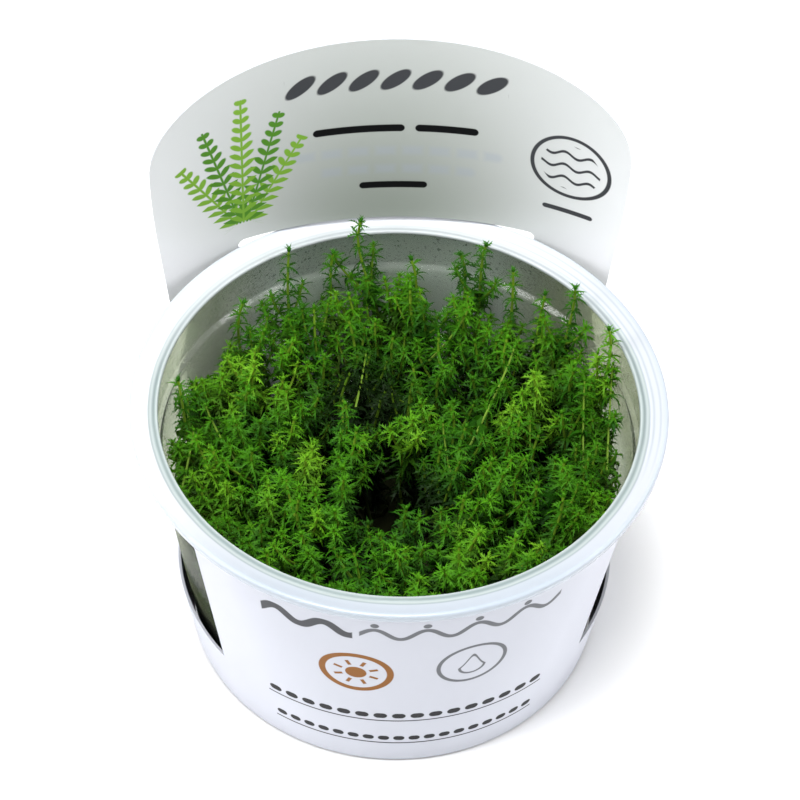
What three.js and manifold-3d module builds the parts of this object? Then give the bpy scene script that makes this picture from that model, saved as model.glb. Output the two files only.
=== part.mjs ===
// A clear tissue-culture cup of water milfoil: a round tapered cup with a wide rim, a printed sheet
// wrapped around it with a header that stands up behind, a layer of nutrient gel and many young plants.
// Millimetres, +Z up. The origin is the centre of the cup's flat base, and the header is at +Y.

import * as THREE from 'three';
import { mergeVertices } from 'three/addons/utils/BufferGeometryUtils.js';
import Module from 'manifold-3d';

const wasm = await Module();
wasm.setup();

// The cup: a tapered body, a wider collar over it and a dished rim around the mouth
const rimRadius = 50;
const rimHeight = 59.3;
const mouthRadius = 44.65;
const collarRadius = 46.2;
const collarBottom = 48.2;
const bodyTopRadius = 45.1;
const baseRadius = 38.3;
const wall = 0.8;
const floorThickness = 1.5;
const cupSides = 32;

// The sleeve: one thin sheet, a cone around the body that opens out flatter at the back
const sheet = 0.5;
const sleeveBottom = 0.8;
const sleeveBaseRadius = 39.95;
const sleeveTaper = 0.1455;
const bandHeight = 16;
const tongueHalfAngle = THREE.MathUtils.degToRad(53);
const tongueTop = 57;
const headerBend = 77;
const headerBack = 47.7;
const headerLean = 0.07;
const headerFlatFrom = 50;
const headerHalfWidth = 45.1;
const headerShoulder = 84;
const headerTop = 103;
const slotHalfWidth = 29;
const slotBottom = 57;
const slotTop = 59.7;
const sleeveSides = 48;

// The gel and the plants
const gap = 0.3;
const gelTop = 12;
const plantCount = 48;
const shootCount = 122;
const shootField = 40;
const canopyTop = 51;
const canopyUnevenness = 4.5;
const stemRadius = 0.55;
const whorlRadius = 2.8;
const tallWhorlRadius = 2.5;
const whorlSpacing = 3.9;
const whorlTurn = Math.PI / 3 / whorlSpacing;
const budRadius = 1.1;
const driftLean = 3;
const clearing = new THREE.Vector2(0, -12);
const clearingRadius = 5;
const hollow = new THREE.Vector2(-4, 12);
const hollowRadius = 9;

// The tallest shoots, which reach the rim along the back and the right side: the tip of each and how
// far it leans over on its way up from the other tips
const tallShoots = [
  { tip: new THREE.Vector3(-5, 40.5, 66.5), lean: new THREE.Vector2(-6, 3.5) },
  { tip: new THREE.Vector3(-19.2, 36.8, 63), lean: new THREE.Vector2(0, 0) },
  { tip: new THREE.Vector3(-10.5, 39.4, 58.8), lean: new THREE.Vector2(0, 0) },
  { tip: new THREE.Vector3(4.5, 40.3, 56), lean: new THREE.Vector2(1, 1) },
  { tip: new THREE.Vector3(13.8, 37.9, 59), lean: new THREE.Vector2(0, 0) },
  { tip: new THREE.Vector3(19, 36.3, 63), lean: new THREE.Vector2(0, 0) },
  { tip: new THREE.Vector3(24, 33, 59.5), lean: new THREE.Vector2(0, 0) },
  { tip: new THREE.Vector3(30, 27.8, 58), lean: new THREE.Vector2(1, 0) },
  { tip: new THREE.Vector3(34.6, 22.3, 65), lean: new THREE.Vector2(3, 1) },
  { tip: new THREE.Vector3(39.8, 11.8, 65), lean: new THREE.Vector2(2, -1) },
  { tip: new THREE.Vector3(-28, 28.5, 57), lean: new THREE.Vector2(0, 0) },
  { tip: new THREE.Vector3(-40.9, 6.8, 60), lean: new THREE.Vector2(-1, 0) },
];

// A closed geometry as a solid that can be joined and cut
function toSolid(geometry) {
  const bare = geometry.clone();
  bare.deleteAttribute('normal');
  bare.deleteAttribute('uv');
  const merged = mergeVertices(bare, 1e-4);
  const index = merged.index.array;
  const corners = [];
  for (let i = 0; i < index.length; i += 3) {
    const [a, b, c] = index.slice(i, i + 3);
    if (a !== b && b !== c && c !== a) {
      corners.push(a, b, c);
    }
  }
  return new wasm.Manifold(new wasm.Mesh({
    numProp: 3,
    vertProperties: merged.attributes.position.array,
    triVerts: Uint32Array.from(corners),
  }));
}

function toGeometry(solid) {
  const mesh = solid.getMesh();
  const geometry = new THREE.BufferGeometry();
  geometry.setAttribute('position', new THREE.BufferAttribute(mesh.vertProperties, 3));
  geometry.setIndex(new THREE.BufferAttribute(mesh.triVerts, 1));
  geometry.computeVertexNormals();
  return geometry;
}

// Moves every vertex of a geometry to the point that a function gives for it
function reshape(geometry, moved) {
  const position = geometry.attributes.position;
  const point = new THREE.Vector3();
  for (let i = 0; i < position.count; i += 1) {
    point.fromBufferAttribute(position, i);
    const target = moved(point);
    position.setXYZ(i, target.x, target.y, target.z);
  }
  return geometry;
}

// A body of revolution about Z from [radius, height] points, which run down its outside
function turned(outline, sides) {
  const points = outline.toReversed().map(([radius, height]) => new THREE.Vector2(radius, height));
  return new THREE.LatheGeometry(points, sides).rotateX(Math.PI / 2);
}

// A flat outline in X and Z, carried along Y from one place to another
function carriedBack(shape, from, to) {
  const geometry = new THREE.ExtrudeGeometry(shape, { depth: to - from, bevelEnabled: false, curveSegments: 10 });
  return geometry.rotateX(Math.PI / 2).translate(0, to, 0);
}

const group = new THREE.Group();

function add(name, geometry, color, roughness) {
  const material = new THREE.MeshStandardMaterial({ color, roughness, metalness: 0 });
  const mesh = new THREE.Mesh(geometry, material);
  mesh.name = name;
  group.add(mesh);
}

// Cup
const bodySlope = (bodyTopRadius - baseRadius - 1) / (collarBottom - 1);

function innerRadius(height) {
  return baseRadius + 1 - wall + bodySlope * (height - 1);
}

function cup() {
  const dish = rimHeight - 1.2;
  const outline = [
    [0, floorThickness],
    [innerRadius(floorThickness) - 1.2, floorThickness],
    [innerRadius(floorThickness + 1.2), floorThickness + 1.2],
    [innerRadius(collarBottom), collarBottom],
    [collarRadius - wall, collarBottom + wall],
    [collarRadius - wall, dish - 1.2],
    [mouthRadius, dish - 0.2],
    [mouthRadius + 0.35, dish + 0.3],
    [mouthRadius + 1.35, dish],
    [rimRadius - 0.7, rimHeight],
    [rimRadius, rimHeight - 0.4],
    [rimRadius - 0.15, dish - 0.6],
    [collarRadius, dish - 0.8],
    [collarRadius, collarBottom],
    [bodyTopRadius, collarBottom - 0.8],
    [baseRadius + 1, 1],
    [baseRadius, 0],
    [0, 0],
  ];
  return toSolid(turned(outline, cupSides));
}

// Sleeve
function smooth(value) {
  const t = THREE.MathUtils.clamp(value, 0, 1);
  return t * t * (3 - 2 * t);
}

// Distance of the sheet from the cup's axis at an angle from straight back and a height
function sheetRadius(angle, height) {
  const cone = sleeveBaseRadius + sleeveTaper * height;
  const back = Math.min(cone, headerBack + headerLean * (height - rimHeight));
  const flat = smooth((height - bandHeight) / (headerFlatFrom - bandHeight));
  const bend = 1 / ((1 - flat) / cone + flat / headerBend);
  const centre = back - bend;
  const arc = centre * Math.cos(angle) + Math.sqrt(bend * bend - (centre * Math.sin(angle)) ** 2);
  const around = smooth((Math.abs(angle) - 1.1) / 0.4);
  return arc + (cone - arc) * around;
}

function sheetBlank() {
  const rows = [sleeveBottom, bandHeight, 33, headerFlatFrom, headerTop + 1];
  const nominal = 50;
  const inside = rows.map((height) => [nominal - sheet / 2, height]);
  const outside = rows.toReversed().map((height) => [nominal + sheet / 2, height]);
  const tube = turned([...inside, ...outside, inside[0]], sleeveSides);
  return reshape(tube, (point) => {
    const angle = Math.atan2(point.x, point.y);
    const radius = sheetRadius(angle, point.z) + Math.hypot(point.x, point.y) - nominal;
    return new THREE.Vector3(radius * Math.sin(angle), radius * Math.cos(angle), point.z);
  });
}

// The header's outline: nearly straight sides, a round top and full shoulders
function headerShape() {
  const foot = headerHalfWidth - 5.9;
  const fullness = 0.66;
  const rise = headerTop - headerShoulder;
  const shape = new THREE.Shape();
  shape.moveTo(-foot, -5);
  shape.lineTo(foot, -5);
  shape.lineTo(foot, bandHeight);
  shape.lineTo(headerHalfWidth - 1.2, 64);
  shape.quadraticCurveTo(headerHalfWidth, headerShoulder - 8, headerHalfWidth, headerShoulder);
  shape.bezierCurveTo(headerHalfWidth, headerShoulder + fullness * rise,
    fullness * headerHalfWidth, headerTop, 0, headerTop);
  shape.bezierCurveTo(-fullness * headerHalfWidth, headerTop,
    -headerHalfWidth, headerShoulder + fullness * rise, -headerHalfWidth, headerShoulder);
  shape.quadraticCurveTo(-headerHalfWidth, headerShoulder - 8, 1.2 - headerHalfWidth, 64);
  shape.lineTo(-foot, bandHeight);
  shape.closePath();
  return shape;
}

function tongueShape() {
  const reach = 120;
  const side = reach * Math.tan(tongueHalfAngle);
  return new THREE.Shape([
    new THREE.Vector2(0, 0),
    new THREE.Vector2(-side, -reach),
    new THREE.Vector2(side, -reach),
  ]);
}

// The slot through which the rim shows in front of the header
function slotShape() {
  const round = (slotTop - slotBottom) / 2;
  const middle = slotBottom + round;
  const shape = new THREE.Shape();
  shape.absarc(slotHalfWidth - round, middle, round, -Math.PI / 2, Math.PI / 2, false);
  shape.absarc(round - slotHalfWidth, middle, round, Math.PI / 2, 1.5 * Math.PI, false);
  return shape;
}

function sleeve() {
  const header = toSolid(carriedBack(headerShape(), 5, 90));
  const band = toSolid(new THREE.BoxGeometry(200, 200, bandHeight + 5).translate(0, 0, (bandHeight - 5) / 2));
  const tongueDepth = { depth: tongueTop + 5, bevelEnabled: false };
  const tongue = toSolid(new THREE.ExtrudeGeometry(tongueShape(), tongueDepth).translate(0, 0, -5));
  const slot = toSolid(carriedBack(slotShape(), 30, 70));
  return toSolid(sheetBlank()).intersect(header.add(band).add(tongue)).subtract(slot);
}

// Gel
function gel() {
  const bottom = floorThickness + gap;
  return toSolid(turned([
    [0, gelTop],
    [innerRadius(gelTop) - gap, gelTop],
    [innerRadius(bottom) - 1.6, bottom],
    [0, bottom],
  ], cupSides));
}

// Plants: repeatable noise, then evenly spread places for the shoots and for the crowns that carry them
function noise(seed) {
  const value = Math.sin(seed * 127.1 + 311.7) * 43758.5453;
  return value - Math.floor(value);
}

function spreadPoint(index, count, radius) {
  const turn = index * Math.PI * (3 - Math.sqrt(5));
  const distance = radius * Math.sqrt((index + 0.5) / count);
  return new THREE.Vector2(distance * Math.cos(turn), distance * Math.sin(turn));
}

function tipHeight(place, seed) {
  const dip = 9 * (1 - smooth(place.distanceTo(hollow) / hollowRadius));
  return canopyTop - dip + canopyUnevenness * (2 * noise(seed) - 1);
}

function shoots() {
  const list = tallShoots.map(({ tip, lean }) => ({ tip, lean, whorls: 4, radius: tallWhorlRadius }));
  for (let i = 0; i < shootCount; i += 1) {
    const place = spreadPoint(i, shootCount, shootField);
    const nearTall = tallShoots.some(({ tip }) => Math.hypot(tip.x - place.x, tip.y - place.y) < 4.7);
    const inClearing = place.distanceTo(clearing) < clearingRadius + whorlRadius;
    if (!nearTall && !inClearing) {
      const tip = new THREE.Vector3(
        place.x + noise(i + 240) - 0.5,
        place.y + noise(i + 630) - 0.5,
        tipHeight(place, i),
      );
      const drift = place.x / 15 + place.y / 11;
      const lean = new THREE.Vector2(Math.cos(drift), Math.sin(drift)).multiplyScalar(driftLean);
      list.push({ tip, lean, whorls: 3, radius: whorlRadius });
    }
  }
  return list;
}

// Every shoot belongs to the plant whose crown is nearest
function plants() {
  const crowns = Array.from({ length: plantCount }, (_, i) => spreadPoint(i, plantCount, 35.5));
  const families = crowns.map(() => []);
  for (const entry of shoots()) {
    const distances = crowns.map((crown) => crown.clone().multiplyScalar(1.1).distanceTo(entry.tip));
    families[distances.indexOf(Math.min(...distances))].push(entry);
  }
  return crowns.map((crown, i) => ({ crown, family: families[i] })).filter(({ family }) => family.length > 0);
}

// The centre line of a shoot: from its place in the crown it spreads to its place in the canopy
function stemPoint(root, { tip, lean }, height) {
  const along = THREE.MathUtils.clamp((height - root.z) / (canopyTop - root.z), 0, 1);
  const spread = 1 - (1 - along) ** 2.2;
  const over = smooth((height - 30) / (tip.z - 30)) - 1;
  return new THREE.Vector3(
    root.x + (tip.x - root.x) * spread + lean.x * over * spread,
    root.y + (tip.y - root.y) * spread + lean.y * over * spread,
    height,
  );
}

// One shoot: a thin stem, funnels of leaves that widen upwards, and a bud at the tip
function shoot(root, entry) {
  const { tip, whorls, radius } = entry;
  const outline = [[0, tip.z]];
  for (let i = 0; i < whorls; i += 1) {
    const height = tip.z - 1.6 - i * whorlSpacing;
    outline.push([i === 0 ? budRadius : stemRadius, height + 0.5]);
    outline.push([radius, height]);
  }
  const bareTop = tip.z - 4.2 - (whorls - 1) * whorlSpacing;
  outline.push([stemRadius, bareTop], [stemRadius, root.z], [0, root.z]);
  return toSolid(reshape(turned(outline, 3), (point) => {
    const turn = whorlTurn * Math.max(0, point.z - bareTop);
    const across = new THREE.Vector3(
      point.x * Math.cos(turn) - point.y * Math.sin(turn),
      point.x * Math.sin(turn) + point.y * Math.cos(turn),
      0,
    );
    return stemPoint(root, entry, point.z).add(across);
  }));
}

// One plant: a low crown on the gel, where the shoots stand as they do in the canopy but closer
function plant({ crown, family }) {
  const foot = gelTop + gap;
  const middle = new THREE.Vector3();
  family.forEach(({ tip }) => middle.addScaledVector(tip, 1 / family.length));
  const roots = family.map(({ tip }) => {
    const offset = tip.clone().sub(middle).multiplyScalar(0.3);
    return new THREE.Vector3(crown.x + offset.x, crown.y + offset.y, foot + 0.4);
  });
  const reach = 1.4 + 1.24 * Math.max(...roots.map((root) => Math.hypot(root.x - crown.x, root.y - crown.y)));
  const mound = turned([[0, foot + 1.2], [reach, foot + 1.2], [reach + 0.2, foot], [0, foot]], 5);
  return family.reduce(
    (solid, entry, i) => solid.add(shoot(roots[i], entry)),
    toSolid(mound.translate(crown.x, crown.y, 0)),
  );
}

add('cup', toGeometry(cup()), 0xdfe6e6, 0.25);
add('sleeve', toGeometry(sleeve()), 0xeceef2, 0.4);
add('gel', toGeometry(gel()), 0xc9c7a4, 0.15);
plants().forEach((entry, i) => {
  add(`plant_${String(i + 1).padStart(2, '0')}`, toGeometry(plant(entry)), 0x4f8f1e, 0.6);
});

export default group;
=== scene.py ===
# A clear culture cup of water milfoil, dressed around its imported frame.
# Metres, +Z up, the cup's axis on Z and the header at +Y. Run it in Blender 4.5.
import bmesh
import bpy
import math
import numpy as np
import random
from functools import partialmethod
from mathutils import Matrix, Vector
from types import SimpleNamespace as Settings


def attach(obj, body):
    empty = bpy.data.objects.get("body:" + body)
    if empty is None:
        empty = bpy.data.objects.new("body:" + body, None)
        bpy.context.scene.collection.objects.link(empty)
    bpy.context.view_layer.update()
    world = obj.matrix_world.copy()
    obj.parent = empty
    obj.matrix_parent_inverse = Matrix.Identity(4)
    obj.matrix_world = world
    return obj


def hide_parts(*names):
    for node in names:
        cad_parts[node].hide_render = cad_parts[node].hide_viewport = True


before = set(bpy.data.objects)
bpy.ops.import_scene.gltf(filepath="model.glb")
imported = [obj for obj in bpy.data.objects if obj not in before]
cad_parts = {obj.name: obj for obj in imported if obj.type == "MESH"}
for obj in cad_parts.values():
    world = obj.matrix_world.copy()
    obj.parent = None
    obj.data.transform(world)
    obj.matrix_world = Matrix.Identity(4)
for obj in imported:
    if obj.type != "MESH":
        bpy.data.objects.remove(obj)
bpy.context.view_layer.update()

mm = 0.001
dice = random.Random(8)


# Small helpers

def pickOnly(*pieces):
    bpy.ops.object.select_all(action="DESELECT")
    for piece in pieces:
        piece.select_set(True)
    bpy.context.view_layer.objects.active = pieces[0]


def startPiece(name, addPrimitive, **settings):
    # adds a primitive and leaves its place and size in its mesh
    bpy.ops.object.select_all(action="DESELECT")
    addPrimitive(**settings)
    piece = bpy.context.object
    piece.name = name
    piece.data.name = name
    bpy.ops.object.transform_apply(location=True, rotation=True, scale=True)
    return piece


def copyPiece(piece, name):
    twin = bpy.data.objects.new(name, piece.data.copy())
    bpy.context.scene.collection.objects.link(twin)
    return twin


def joinPieces(pieces, name):
    pickOnly(*pieces)
    bpy.ops.object.join()
    joined = bpy.context.object
    joined.name = name
    joined.data.name = name
    return joined


def dropPiece(piece):
    bpy.data.objects.remove(piece)


def applyModifier(piece, kind, **settings):
    pickOnly(piece)
    modifier = piece.modifiers.new(kind.title(), kind)
    for key, value in settings.items():
        setattr(modifier, key, value)
    bpy.ops.object.modifier_apply(modifier=modifier.name)


def editMode():
    bpy.ops.object.mode_set(mode="EDIT")


def editAll():
    editMode()
    bpy.ops.mesh.select_all(action="SELECT")


def objectMode():
    bpy.ops.object.mode_set(mode="OBJECT")


def turnOutwards():
    # all faces point outwards, and back to object mode
    bpy.ops.mesh.select_all(action="SELECT")
    bpy.ops.mesh.normals_make_consistent(inside=False)
    objectMode()


def extrude(shift):
    bpy.ops.mesh.extrude_region_move(TRANSFORM_OT_translate={"value": shift})


def mergeSelected():
    bpy.ops.mesh.merge(type="CENTER")


def drawOutline(name, outline):
    # a new piece, left in edit mode, with edges from point to point in millimetres
    piece = startPiece(name, bpy.ops.mesh.primitive_plane_add, size=0.0001)
    editAll()
    mergeSelected()
    spots = [Vector(spot) for spot in outline]
    bpy.ops.transform.translate(value=spots[0] * mm)
    for here, spot in zip(spots, spots[1:]):
        extrude((spot - here) * mm)
    bpy.ops.mesh.select_all(action="SELECT")
    return piece


def selectParts(piece, kind, test):
    # in edit mode: selects the faces or edges that pass the test
    mesh = bmesh.from_edit_mesh(piece.data)
    bpy.ops.mesh.select_all(action="DESELECT")
    for part in getattr(mesh, kind):
        if test(part):
            part.select_set(True)
    bmesh.update_edit_mesh(piece.data)


def selectFaces(piece, test):
    # the test is given a face's middle and its normal
    selectParts(piece, "faces", lambda face: test(face.calc_center_median(), face.normal))


def selectEdges(piece, test):
    # the test is given an edge's two ends
    selectParts(piece, "edges", lambda edge: test(edge.verts[0].co, edge.verts[1].co))


def pointsOf(piece):
    places = np.empty(len(piece.data.vertices) * 3)
    piece.data.vertices.foreach_get("co", places)
    return places.reshape(-1, 3)


def movePoints(piece, places):
    piece.data.vertices.foreach_set("co", places.ravel())
    piece.data.update()


def paintPoints(piece, **layers):
    mesh = piece.data
    for name, values in layers.items():
        layer = mesh.attributes.get(name) or mesh.attributes.new(name, "FLOAT", "POINT")
        layer.data.foreach_set("value", np.broadcast_to(values, len(mesh.vertices)).astype(np.float32))


def smooth(value):
    t = np.clip(value, 0.0, 1.0)
    return t * t * (3 - 2 * t)


def softenEdges(piece, width, degrees):
    applyModifier(piece, "BEVEL", width=width * mm, segments=2, limit_method="ANGLE",
                  angle_limit=math.radians(degrees))


def shadeSoftly(piece, degrees):
    pickOnly(piece)
    bpy.ops.object.shade_smooth_by_angle(angle=math.radians(degrees))


def dress(piece, slot, *nodes):
    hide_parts(*nodes)
    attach(piece, "root")


# Materials: one wrapped socket and one way to add any other node

class Wire:
    # a socket's value on its way through a material, so that masks read as sums
    def __init__(self, paint, socket):
        self.paint = paint
        self.socket = socket

    def maths(self, operation, *others):
        sockets = dict(enumerate((self, *others)))
        return self.paint.add("ShaderNodeMath", {"operation": operation}, sockets)

    __add__ = __radd__ = partialmethod(maths, "ADD")
    __mul__ = __rmul__ = partialmethod(maths, "MULTIPLY")
    __sub__ = partialmethod(maths, "SUBTRACT")
    __truediv__ = partialmethod(maths, "DIVIDE")
    __pow__ = partialmethod(maths, "POWER")
    __mod__ = partialmethod(maths, "FLOORED_MODULO")
    __abs__ = partialmethod(maths, "ABSOLUTE")
    root = partialmethod(maths, "SQRT")
    sine = partialmethod(maths, "SINE")
    least = partialmethod(maths, "MINIMUM")
    most = partialmethod(maths, "MAXIMUM")
    aimedAt = partialmethod(maths, "ARCTAN2")
    above = partialmethod(maths, "GREATER_THAN")

    def __neg__(self): return self * -1.0
    def __rsub__(self, other): return self.maths("MULTIPLY_ADD", -1.0, other)
    def clamped(self): return self.paint.add("ShaderNodeClamp", {}, {"Value": self})
    def rising(self, start, width): return ((self - start) / width).clamped()
    def falling(self, start, width): return ((start - self) / width).clamped()


class Paint:
    # one material and its nodes
    def __init__(self, name):
        self.material = bpy.data.materials.new(name)
        self.material.use_nodes = True
        self.nodes = self.material.node_tree.nodes
        self.links = self.material.node_tree.links
        self.shader = self.nodes["Principled BSDF"]
        self.output = self.nodes["Material Output"]
        # Object coordinates in millimetres
        metres = self.add("ShaderNodeTexCoord", {}, {}, "Object")
        self.spot = self.add("ShaderNodeVectorMath", {"operation": "SCALE"}, {0: metres, "Scale": 1000.0})

    def add(self, kind, settings, sockets, out=0):
        node = self.nodes.new(kind)
        for key, value in settings.items():
            setattr(node, key, value)
        for key, value in sockets.items():
            self.plug(node.inputs[key], value)
        return Wire(self, node.outputs[out])

    def plug(self, socket, value):
        if isinstance(value, Wire):
            self.links.new(value.socket, socket)
        elif socket.type == "RGBA":
            socket.default_value = (*value, 1.0)
        else:
            socket.default_value = value

    def split(self):
        parts = self.nodes.new("ShaderNodeSeparateXYZ")
        self.plug(parts.inputs[0], self.spot)
        return [Wire(self, socket) for socket in parts.outputs]

    def noise(self, scale, detail, vector=None):
        vector = self.spot if vector is None else vector
        return self.add("ShaderNodeTexNoise", {}, {"Vector": vector, "Scale": scale, "Detail": detail})

    def attribute(self, name):
        return self.add("ShaderNodeAttribute", {"attribute_name": name}, {}, "Fac")

    def mix(self, factor, first, second):
        return self.add("ShaderNodeMix", {"data_type": "RGBA"}, {0: factor, 6: first, 7: second}, 2)

    def over(self, colour, *coats):
        # a colour under coats of others, each let through by its mask
        for mask, coat in coats:
            colour = self.mix(mask, colour, coat)
        return colour

    def bump(self, height, strength, distance):
        return self.add("ShaderNodeBump", {},
                        {"Height": height, "Strength": strength, "Distance": distance})

    def finish(self, **sockets):
        for key, value in sockets.items():
            self.plug(self.shader.inputs[key.replace("_", " ")], value)
        return self.material


def length(x, y):
    return (x * x + y * y).root()


def inked(distance, edge=0.12):
    # 1 inside a mark, 0 outside it, with an edge of that width in millimetres
    return (0.5 - distance / edge).clamped()


def disc(x, y, radius):
    return length(x, y) - radius


def ring(x, y, radius, stroke):
    return abs(length(x, y) - radius) - stroke / 2


def bar(x, y, halfLength, halfHeight):
    # a bar with round ends
    return length((abs(x) - (halfLength - halfHeight)).most(0.0), y) - halfHeight


def turnedBy(x, y, degrees):
    c, s = math.cos(math.radians(degrees)), math.sin(math.radians(degrees))
    return x * c + y * s, y * c - x * s


# Camera and light

cameraSettings = Settings(
    place=(-0.0275, -0.3282, 0.4354),
    turns=((-4.81, "Z"), (41.2, "X"), (1.93, "Z")),
    lens=121.48,
    sensor=36.0,
)

bpy.ops.object.select_all(action="DESELECT")
bpy.ops.object.camera_add()
camera = bpy.context.object
camera.name = "camera"
camera.data.sensor_width = cameraSettings.sensor
camera.data.lens = cameraSettings.lens
camera.data.clip_start = 0.01
aim = Matrix.Translation(cameraSettings.place)
for degrees, axis in cameraSettings.turns:
    aim = aim @ Matrix.Rotation(math.radians(degrees), 4, axis)
camera.matrix_world = aim
bpy.context.scene.camera = camera

lightSettings = Settings(
    sky=0.34,
    lamps=[
        # name, place, target, size, power, colour
        ("topBox", (-0.08, -0.10, 0.88), (0, 0, 0.04), 0.42, 9.4, (1.0, 1.0, 1.0)),
        ("leftBox", (-0.56, -0.20, 0.50), (0, 0, 0.06), 0.40, 3.3, (0.98, 0.99, 1.0)),
        ("rightBox", (0.56, -0.20, 0.50), (0, 0, 0.06), 0.40, 2.5, (0.98, 0.99, 1.0)),
    ],
)


def addLamps(settings):
    world = bpy.data.worlds.new("studio")
    bpy.context.scene.world = world
    world.use_nodes = True
    sky = world.node_tree.nodes["Background"]
    sky.inputs["Color"].default_value = (1.0, 1.0, 1.0, 1.0)
    sky.inputs["Strength"].default_value = settings.sky
    for name, place, target, size, power, colour in settings.lamps:
        bpy.ops.object.light_add(type="AREA", location=place)
        lamp = bpy.context.object
        lamp.name = name
        lamp.data.shape = "DISK"
        lamp.data.size = size
        lamp.data.energy = power
        lamp.data.color = colour
        lamp.rotation_euler = (Vector(target) - Vector(place)).to_track_quat("-Z", "Y").to_euler()
        lamp.visible_camera = False


addLamps(lightSettings)
bpy.context.scene.view_settings.view_transform = "Standard"

floorSettings = Settings(size=6.0, colour=(0.93, 0.93, 0.94), cloud=(0.95, 0.95, 0.955))


def makeFloor(settings):
    floor = startPiece("floor", bpy.ops.mesh.primitive_plane_add, size=settings.size)
    editAll()
    bpy.ops.mesh.subdivide(number_cuts=3)
    objectMode()
    paint = Paint("paleFloor")
    cloud = paint.noise(0.004, 2.0)
    colour = paint.mix(cloud, settings.colour, settings.cloud)
    floor.data.materials.append(paint.finish(Base_Color=colour, Roughness=0.7))


makeFloor(floorSettings)
print("camera, light and floor")


# Cup

cupShape = Settings(
    rimRadius=50.0, rimHeight=59.3, mouthRadius=44.65, collarRadius=46.2,
    collarBottom=48.2, bodyTopRadius=45.1, baseRadius=38.3, wall=0.8,
    floorThickness=1.5, dishDepth=1.2, milkyFrom=57.3, turns=144, softEdge=0.14,
)
bodySlope = (cupShape.bodyTopRadius - cupShape.baseRadius - 1) / (cupShape.collarBottom - 1)


def innerRadius(height):
    return cupShape.baseRadius + 1 - cupShape.wall + bodySlope * (height - 1)


def cupOutline(c):
    # radius and height, from the middle of the floor up the inside and down the outside
    wall, thick, low, top = c.wall, c.floorThickness, c.collarBottom, c.rimHeight
    mouth, collar, rim, base = c.mouthRadius, c.collarRadius, c.rimRadius, c.baseRadius
    dish = top - c.dishDepth
    return [
        (innerRadius(thick) - 1.2, thick), (innerRadius(thick + 0.4) - 0.4, thick + 0.35),
        (innerRadius(thick + 1.2), thick + 1.2), (innerRadius(24), 24),
        (innerRadius(low - 0.8), low - 0.8), (innerRadius(low) + 0.15, low + 0.1),
        (collar - wall, low + wall), (collar - wall, dish - 1.2),
        (mouth + 0.1, dish - 0.5), (mouth, dish - 0.2), (mouth + 0.1, dish + 0.15),
        (mouth + 0.35, dish + 0.3), (mouth + 1.35, dish),
        (rim - 2.2, dish + 0.45), (rim - 0.7, top), (rim - 0.2, top - 0.08), (rim, top - 0.4),
        (rim - 0.15, dish - 0.6), (rim - 0.8, dish - 0.75),
        (collar + 0.5, dish - 0.8), (collar, dish - 1.2), (collar, low + 0.3), (collar - 0.3, low),
        (c.bodyTopRadius, low - 0.8), (base + 1, 1), (base + 0.6, 0.25), (base, 0),
    ]


def makeCup(c):
    cup = drawOutline("culture_cup", [(radius, 0, height) for radius, height in cupOutline(c)])
    bpy.ops.mesh.spin(steps=c.turns, angle=2 * math.pi, center=(0, 0, 0), axis=(0, 0, 1))
    bpy.ops.mesh.select_all(action="SELECT")
    bpy.ops.mesh.remove_doubles(threshold=0.00001)
    # the floor's two open rings are filled with a disc and its inset rings
    for level in (c.floorThickness * mm, 0.0):
        selectEdges(cup, lambda a, b: abs(a.z - level) < 1e-6 and abs(b.z - level) < 1e-6)
        bpy.ops.mesh.edge_face_add()
        for inset in (4, 14):
            bpy.ops.mesh.inset(thickness=inset * mm)
    turnOutwards()
    softenEdges(cup, c.softEdge, 28)
    shadeSoftly(cup, 40)
    return cup


# the clear wall's two finishes: tones of the painted shade at its sides, how strong that shade is on the
# left, and the rest
insideFinish = Settings(
    sides=((0.61, 0.67, 0.54), (0.51, 0.56, 0.44)), leftSide=0.35,
    streaks=0.75, mist=0.8, shine=0.15, calm=0.0,
)
outsideFinish = Settings(
    sides=((0.28, 0.30, 0.21), (0.19, 0.20, 0.13)), leftSide=0.5,
    streaks=0.2, mist=0.3, shine=0.05, calm=0.8,
)
plasticIor = 1.46


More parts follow.
